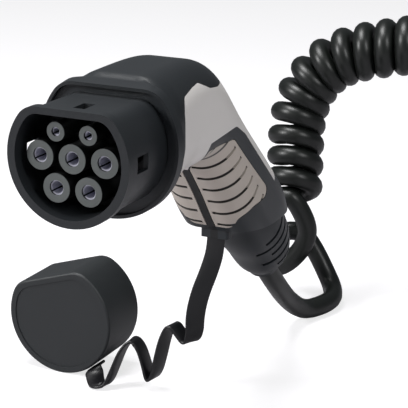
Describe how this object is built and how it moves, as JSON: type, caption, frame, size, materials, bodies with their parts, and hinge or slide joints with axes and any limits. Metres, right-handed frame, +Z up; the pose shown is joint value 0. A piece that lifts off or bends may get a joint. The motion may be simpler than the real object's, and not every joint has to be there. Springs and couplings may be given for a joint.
{
  "type": "ev charging cable",
  "caption": "Vehicle charging connector with a two-tone pistol handle, on a curly cable that ends in a cable gland, with its protective cap on a flat strap.",
  "frame": {"origin": "middle of the nose's front rim, on the earth contact's axis", "axes": "-Y points out of the nose, the way it is pushed into the vehicle; +Z is up; +X is to the right of a viewer who faces the sockets. The handle runs back and down."},
  "size_m": [0.3035, 0.362, 0.2142],
  "materials": {
    "dark_shell": "fine-grained moulded dark grey plastic",
    "contact_insert": "moulded grey insulating plastic",
    "light_cover": "fine-grained moulded pale grey plastic",
    "dark_frame": "fine-grained moulded slate grey plastic",
    "grip_pads": "soft-touch warm grey rubber with cut grooves",
    "boot_rubber": "moulded dark rubber",
    "strap_rubber": "smooth black flexible rubber",
    "cap_plastic": "fine-grained moulded dark grey plastic",
    "cable_jacket": "smooth satin black polyurethane jacket",
    "zinc_steel": "zinc-plated steel",
    "clamp_plastic": "glass-filled black plastic",
    "resistor_body": "lacquered resistor body",
    "silver_contacts": "silver-plated turned metal",
    "earth_insulation": "green and yellow core insulation",
    "neutral_insulation": "blue core insulation",
    "line_one_insulation": "brown core insulation",
    "line_two_insulation": "black core insulation",
    "line_three_insulation": "grey core insulation",
    "pilot_insulation": "orange core insulation",
    "gland_plastic": "moulded black plastic"
  },
  "bodies": {
    "root": {"nose_shroud": "dark_shell", "head_housing": "dark_shell", "contact_carrier": "contact_insert", "contact_retainer": "contact_insert", "grip_cover": "light_cover", "grip_frame": "dark_frame", "grip_pad_right": "grip_pads", "grip_pad_left": "grip_pads", "strain_relief": "boot_rubber", "nose_seal": "boot_rubber", "cable_seal": "boot_rubber", "gland_seal": "boot_rubber", "strap_clip": "dark_frame", "cap_strap": "strap_rubber", "protective_cap": "cap_plastic", "cable_lead": "cable_jacket", "curly_cord": "cable_jacket", "cable_tail": "cable_jacket", "carrier_screws": "zinc_steel", "clamp_screws": "zinc_steel", "clamp_base": "clamp_plastic", "clamp_saddle": "clamp_plastic", "coding_resistor": "resistor_body", "earth_core": "earth_insulation", "neutral_core": "neutral_insulation", "line_one_core": "line_one_insulation", "line_two_core": "line_two_insulation", "line_three_core": "line_three_insulation", "pilot_core": "pilot_insulation", "gland_dome_nut": "gland_plastic", "gland_body": "gland_plastic", "gland_locknut": "gland_plastic", "earth_contact": "silver_contacts", "neutral_contact": "silver_contacts", "line_one_contact": "silver_contacts", "line_two_contact": "silver_contacts", "line_three_contact": "silver_contacts", "control_pilot_contact": "silver_contacts", "proximity_contact": "silver_contacts", "earth_tower": "contact_insert", "neutral_tower": "contact_insert", "line_one_tower": "contact_insert", "line_two_tower": "contact_insert", "line_three_tower": "contact_insert", "control_pilot_tower": "contact_insert", "proximity_tower": "contact_insert"}
  },
  "joints": []
}
